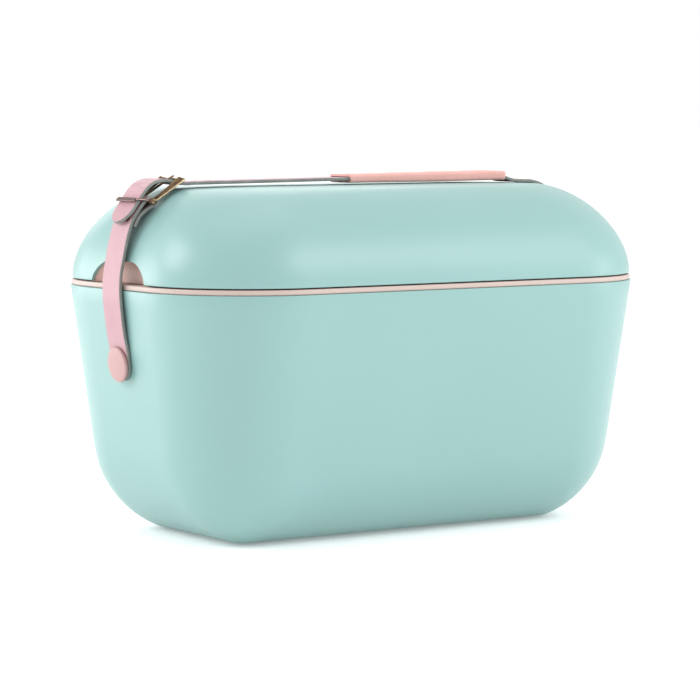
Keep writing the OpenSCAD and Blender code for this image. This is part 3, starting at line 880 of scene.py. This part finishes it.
def make_rivets():
    tilt, rivet_x, rivet_z, spread_y = math.radians(62), -199.95, 236.2, 6
    out = Vector((-math.sin(tilt), 0, math.cos(tilt)))
    profile = [(0.02, -3.75), (1.2, -3.65), (2.1, -3.35), (2.55, -2.9), (2.5, -2.6), (1.5, -2.6)]
    profile += [(1.5, 2.55), (2.5, 2.55), (2.6, 2.75), (2.2, 3.2), (1.2, 3.5), (0.02, 3.6)]
    shapes = [loft(lathe(profile, 28, (rivet_x, y, rivet_z), out, (0, 1, 0))) for y in (-spread_y, spread_y)]
    rivets = solid("fold_rivets", joined(*shapes), [brass])
    place(rivets, "left_strap_body", "antique_brass", "left_strap_rivets")


# ---------- grip ----------

GRIP_FROM, GRIP_TO = -13.0, 133.0
GRIP_HALF_Y, GRIP_HALF_H, GRIP_WALL, GRIP_SEAM = 14.6, 3.3, 1.6, 0.45
DROOP_FROM = 126.0       # X, from where the sleeve droops


def grip_sag(u):
    """How far the sleeve's underside lies below its plain section: more towards the right."""
    f = min(u / 0.7, 1)
    return 0.9 * f * f * (3 - 2 * f) - 0.3


def grip_section(inset, u):
    """The sleeve's section, open below along a narrow seam."""
    outer = inset == 0
    a, top, low = GRIP_HALF_Y - inset, GRIP_HALF_H - inset, GRIP_HALF_H + grip_sag(u) - inset
    r = min(2.2 if outer else 1.5, top * 0.92)
    crown = 0.35 * math.sin(math.pi * u) ** 0.5 if outer else 0
    points = [(GRIP_SEAM, -low)]
    points += arc(a - r, r - low, r, -90, 0, 6)
    points += arc(a - r, top - r, r, 0, 90, 6)
    for f in (0.12, 0.25, 0.38, 0.5, 0.62, 0.75, 0.88):
        points.append((a - r - 2 * (a - r) * f, top + crown * math.sin(math.pi * f)))
    points += arc(r - a, top - r, r, 90, 180, 6)
    points += arc(r - a, r - low, r, 180, 270, 6)
    return points + [(-GRIP_SEAM, -low)]


def grip_centre(u):
    """The sleeve's middle along X and Z: it droops a little at its right end."""
    x = GRIP_FROM + (GRIP_TO - GRIP_FROM) * u
    return x, on_run(x)[1] + STRAP_T / 2 - 0.008 * max(x - DROOP_FROM, 0) ** 2


def make_grip():
    count = 74
    rings = []
    for k in range(count + 1):
        u = k / count
        x, z = grip_centre(u)
        ahead = min(u + 0.004, 1.0)
        way = np.array(grip_centre(ahead)) - np.array(grip_centre(ahead - 0.008))
        way /= np.linalg.norm(way)
        up = (-way[1], way[0])
        wave = 0.12 * math.sin(u * 23) + 0.08 * math.sin(u * 51 + 2)
        row = []
        for y, h in grip_section(0, u):
            high = h + (wave * 0.5 if h > 0 else 0)
            row.append((x + up[0] * h, y + 0.25 * wave * (1 if y > 0 else -1), z + up[1] * high))
        row += [(x + up[0] * h, y, z + up[1] * h) for y, h in grip_section(GRIP_WALL, u)[::-1]]
        rings.append(row)
    n = len(rings[0])
    outside = n // 2 - 1
    slots = [GRAIN if j < outside else EDGE if j in (outside, n - 1) else FLESH for j in range(n)]
    first = np.array([(p[1], p[2]) for p in rings[0]])
    lengths = [(GRIP_TO - GRIP_FROM) * i / count for i in range(count + 1)]
    cap = [tuple(p) for p in first]
    uvs = wrap_uvs(lengths, girth(first), [cap, cap])
    finishes = [grip_leather, raw_edge, flesh_side]
    sleeve = solid("grip_wrap", loft(rings), finishes, 42, slots * count + [GRAIN, GRAIN], uvs)
    ends = [0.12 + 0.5 * max(0, 1 - min(i, count - i) / count * 14) for i in range(count + 1)]
    mark(sleeve, "flex", np.repeat(ends, n))
    place(sleeve, "grip", "grip_leather", "grip_sleeve")

    stitches = []
    for k in range(33):
        u = (k + 0.9) / 34
        x, z = grip_centre(u)
        slant = 0.9 if k % 2 else -0.9
        rows = []
        for f in np.linspace(0, 1, 9):
            y = -2.6 + 5.2 * f
            lift = 0.15 - GRIP_HALF_H - grip_sag(u) - 0.12 * math.sin(math.pi * f)
            r = 0.22 * (0.35 + 0.65 * math.sin(math.pi * min(max(f, 0.04), 0.96)) ** 0.5)
            rows.append([(x + slant * (f - 0.5) + r * math.cos(t), y, z + lift + r * math.sin(t))
                         for t in round_angles(8)])
        stitches.append(loft(rows))
    seam_row = solid("grip_seam_stitches", joined(*stitches), [seam_thread])
    place(seam_row, "grip", "grip_leather")


# ---------- buckle ----------

def buckle_point(x, y, z):
    """A point from the buckle's own axes: X to the toe bar, Z away from the lid."""
    a = math.radians(BUCKLE_TILT)
    along, up = math.cos(a), math.sin(a)
    return (BUCKLE_AT[0] + x * along - z * up, y, BUCKLE_AT[1] + x * up + z * along)


def band_section(half_a, half_b, r):
    """A rounded rectangle as pairs, and how worn each point is."""
    steps = 3
    corners = ((1, 1), (-1, 1), (-1, -1), (1, -1))
    points, worn = [], []
    r = min(r, half_a * 0.98, half_b * 0.98)
    for q, (ca, cb) in enumerate(corners):
        points += [
            (ca * (half_a - r) + r * math.cos(t), cb * (half_b - r) + r * math.sin(t))
            for t in (math.pi / 2 * (q + k / steps) for k in range(steps + 1))
        ]
        worn += [1.0] * (steps + 1)
        na, nb = corners[(q + 1) % 4]
        t = math.pi / 2 * (q + 1)
        start = points[-1]
        end = (na * (half_a - r) + r * math.cos(t), nb * (half_b - r) + r * math.sin(t))
        for f in (0.2, 0.5, 0.8):
            points.append((start[0] + (end[0] - start[0]) * f, start[1] + (end[1] - start[1]) * f))
            worn.append(0.0 if f == 0.5 else 0.25)
    return points, worn


def frame_section(half, low, top, inner_low):
    """The buckle frame's section, from its outer rim up a sloped face to its inner edge, and its wear."""
    rim = low + 0.95
    marks = [(-half + 0.15, low, 0.8), (-half - 0.05, (low + rim) / 2, 1.0), (-half + 0.1, rim, 1.0)]
    for f, worn in ((0.12, 0.35), (0.35, 0.05), (0.65, 0.0), (0.88, 0.15)):
        marks.append((-half + (2 * half - 0.5) * f, rim + (top - rim) * f, worn))
    marks += [(half - 0.5, top, 0.7), (half - 0.15, top - 0.12, 0.6), (half, top - 0.5, 0.2)]
    marks += [(half, inner_low + 0.35, 0.1), (half - 0.35, inner_low, 0.1), (0.0, (low + inner_low) / 2, 0.1)]
    return [(a, b) for a, b, _ in marks], [worn for _, _, worn in marks]


def make_buckle():
    side_y, corner_r, toe_x = 14.65, 2.0, 30.4
    line = [(x, -side_y) for x in (-1.2, 0, 2.5, 6, 11, 16, 21, 25, toe_x - corner_r)]
    line += arc(toe_x - corner_r, corner_r - side_y, corner_r, -90, 0, 7)[1:]
    line += [(toe_x, y) for y in (-8, -4, 0)]
    line += [(x, -y) for x, y in line[:-1][::-1]]
    line = np.array(line, float)
    way = np.gradient(line, axis=0)
    way /= np.linalg.norm(way, axis=1)[:, None]
    rings, worn = [], []
    for (x, y), (wx, wy) in zip(line, way):
        toe = min(max((side_y - abs(y)) / 2.5, 0), 1)
        flare = min(max(x / 28, 0), 1)
        half = 1.85 - 0.45 * toe
        top = (1.0 + 2.3 * flare ** 1.2) * (1 - toe) + 0.9 * toe
        section, amounts = frame_section(half, -1.05 - 0.2 * toe, top, -1.0 + 0.1 * toe)
        rings.append([buckle_point(x - wy * a, y + wx * a, b) for a, b in section])
        worn += amounts
    frame_bar = loft(rings)
    bosses = []
    for side in (-1, 1):
        profile = [(0.02, 13.2), (2.1, 13.2), (2.35, 13.5), (2.35, 16.0), (2.1, 16.35), (1.8, 16.5)]
        profile += [(2.05, 16.7), (2.05, 16.9), (1.7, 17.3), (0.9, 17.5), (0.02, 17.55)]
        bosses.append(turned_across(profile, 32, side=side))
        worn += [w for w in (0, 0.1, 0.5, 0.4, 0.2, 0.0, 0.5, 0.6, 0.5, 0.4, 0.4) for _ in range(32)]
    buckle = solid("buckle_casting", joined(frame_bar, *bosses), [brass], 50)
    mark(buckle, "wear", worn)
    place(buckle, "buckle", "antique_brass", "buckle_frame")

    profile = [(0.02, -15.5), (HEEL_BAR_R, -15.5)] + [(HEEL_BAR_R, y) for y in (-9, -3, 3, 9)]
    profile += [(HEEL_BAR_R, 15.5), (0.02, 15.5)]
    pin = solid("buckle_pin", turned_across(profile, 28), [brass])
    mark(pin, "wear", [0.5] * len(pin.data.vertices))
    place(pin, "buckle", "antique_brass", "buckle_heel_bar")

    eye = [(EYE_R, -1.6), (2.4, -1.8), (2.95, -1.4), (3.05, 0), (2.95, 1.4), (2.4, 1.8), (EYE_R, 1.6)]
    # along the prong: distance, height, half width, half thickness, wear
    spine = [(0.6, 2.1, 1.3, 1.1, 0.1), (2.5, 2.25, 1.3, 1.05, 0.1), (6, 2.3, 1.2, 1.0, 0.2),
             (12, 2.3, 1.15, 1.0, 0.2), (19, 2.2, 1.1, 0.9, 0.2), (26, 2.0, 1.05, 0.85, 0.2),
             (29.5, 1.8, 1.0, 0.8, 0.3), (31.0, 1.7, 0.9, 0.75, 0.3), (31.8, 1.6, 0.6, 0.55, 0.2),
             (32.1, 1.55, 0.15, 0.15, 0.1)]
    shaft = []
    worn = [0.2] * (len(eye) * 32)
    for x, z, half_y, half_z, wear in spine:
        shaft.append([buckle_point(x, half_y * math.cos(t), z + half_z * math.sin(t))
                      for t in round_angles(16)])
        worn += [wear] * 16
    prong = solid("buckle_tongue", joined(turned_across(eye, 32, closed=True), loft(shaft)), [brass], 50)
    mark(prong, "wear", worn)
    place(prong, "prong", "antique_brass", "buckle_prong")


def make_keeper():
    a = math.radians(KEEPER_TILT)
    along, out = Vector((math.cos(a), 0, math.sin(a))), Vector((-math.sin(a), 0, math.cos(a)))
    middle = Vector((KEEPER_AT[0], 0, KEEPER_AT[1]))
    half = 13.7
    rings, worn = [], []
    for y in (-1.0, -0.985, -0.96, -0.9, -0.6, -0.2, 0.2, 0.6, 0.9, 0.96, 0.985, 1.0):
        close = max((abs(y) - 0.93) / 0.07, 0)
        size = math.sqrt(max(1 - close * close, 0.03))
        section, amounts = band_section(1.85 * size, 0.68 * size, 0.6 * size)
        sag = 0.15 * (1 - y * y)
        off = Vector((0, half * y, 0))
        rings.append([tuple(middle + along * p + out * (q + sag) + off) for p, q in section])
        worn += [w * 0.4 for w in amounts]
    shapes = [loft(rings)]
    heel_at = Vector(HEEL_AT)
    reach = heel_at - middle
    across = Vector((0, 1, 0)).cross(reach.normalized())
    loop = [(EYE_R, -0.38), (2.0, -0.45), (2.45, -0.2), (2.45, 0.2), (2.0, 0.45), (EYE_R, 0.38)]
    for side in (-1, 1):
        shift = Vector((0, side * (half - 0.75), 0))
        arm = []
        for f in (0.0, 0.06, 0.2, 0.5, 0.8, 0.88, 0.9):
            bow = -0.5 * math.sin(math.pi * f)
            r = 0.95 if f < 0.87 else 0.6
            at = middle + reach * f + shift + across * bow
            arm.append([tuple(at + across * (r * math.cos(t)) + Vector((0, r * math.sin(t), 0)))
                        for t in round_angles(12)])
        shapes += [loft(arm), turned_across(loop, 28, heel_at + shift, closed=True)]
        worn += [0.9] * (len(arm) * 12 + len(loop) * 28)
    keeper = solid("keeper_loop", joined(*shapes), [bronze_pink], 50)
    mark(keeper, "wear", worn)
    place(keeper, "keeper", "antique_brass", "strap_keeper")


make_chest()
make_feet()
make_lid()
make_gasket()
make_caps()
make_straps()
make_rivets()
make_grip()
make_buckle()
make_keeper()


# ---------- studio ----------

FLOOR_HALF = 40.0
FLOOR_GLOW = 0.2        # the white paper is lit from below as well
# name, place in metres, width and height, watts: each faces the cooler's middle
SOFTBOXES = (
    ("left_softbox", (-1.15, 1.7, 0.35), (1.2, 0.7), 11),
    ("back_left_softbox", (-1.6, 0.85, 1.25), (0.8, 0.8), 16),
    ("front_softbox", (0.8, -1.3, 1.3), (1.2, 0.8), 11),
    ("right_softbox", (1.7, -1.1, 0.5), (0.9, 0.9), 8),
    ("back_softbox", (0.4, 1.5, 1.0), (1.4, 1.0), 4),
    ("top_softbox", (0.0, 0.1, 1.8), (1.4, 1.0), 4),
)
COOLER_MIDDLE = (0, 0, 0.13)
CAMERA_AZIMUTH, CAMERA_ELEVATION = -34.103, 4.675
CAMERA_DISTANCE, CAMERA_TARGET = 2.27958, (-0.00295, 0.001998, 0.132625)
CAMERA_LENS = 152.94


def make_floor():
    corners = [(x * FLOOR_HALF, y * FLOOR_HALF, 0) for x, y in ((-1, -1), (1, -1), (1, 1), (-1, 1))]
    mesh = bpy.data.meshes.new("floor")
    mesh.from_pydata(corners, [], [(0, 1, 2, 3)])
    look = Look("floor_paper", Roughness=0.9, Emission_Color=(1, 1, 1, 1), Emission_Strength=FLOOR_GLOW)
    fibre = look.noise(look.place(), 300, 3)
    colour = look.mix(look.range(fibre, 0.3, 0.7), (0.96, 0.96, 0.96, 1), (0.945, 0.945, 0.945, 1))
    mesh.materials.append(look.done(colour))
    add_object("floor", mesh)


def add_light(name, location, size, power):
    lamp = bpy.data.lights.new(name, "AREA")
    lamp.shape = "RECTANGLE"
    lamp.size, lamp.size_y = size
    lamp.energy = power
    holder = add_object(name, lamp)
    holder.location = location
    aim = Vector(COOLER_MIDDLE) - Vector(location)
    holder.rotation_euler = aim.to_track_quat("-Z", "Y").to_euler()


def make_studio():
    make_floor()
    world = bpy.data.worlds.new("studio")
    world.use_nodes = True
    backdrop = world.node_tree.nodes["Background"]
    backdrop.inputs["Color"].default_value = (1.0, 1.0, 1.0, 1.0)
    backdrop.inputs["Strength"].default_value = 1.0
    scene = bpy.context.scene
    scene.world = world
    scene.view_settings.view_transform = "Standard"
    for softbox in SOFTBOXES:
        add_light(*softbox)


def make_camera():
    azimuth, elevation = math.radians(CAMERA_AZIMUTH), math.radians(CAMERA_ELEVATION)
    level = math.cos(elevation)
    back = Vector((math.sin(azimuth) * level, -math.cos(azimuth) * level, math.sin(elevation)))
    data = bpy.data.cameras.new("camera")
    data.sensor_width = 36.0
    data.lens = CAMERA_LENS
    data.clip_start, data.clip_end = 0.05, 40.0
    camera = add_object("camera", data)
    camera.location = Vector(CAMERA_TARGET) + back * CAMERA_DISTANCE
    camera.rotation_euler = (-back).to_track_quat("-Z", "Y").to_euler()
    bpy.context.scene.camera = camera


make_studio()
make_camera()
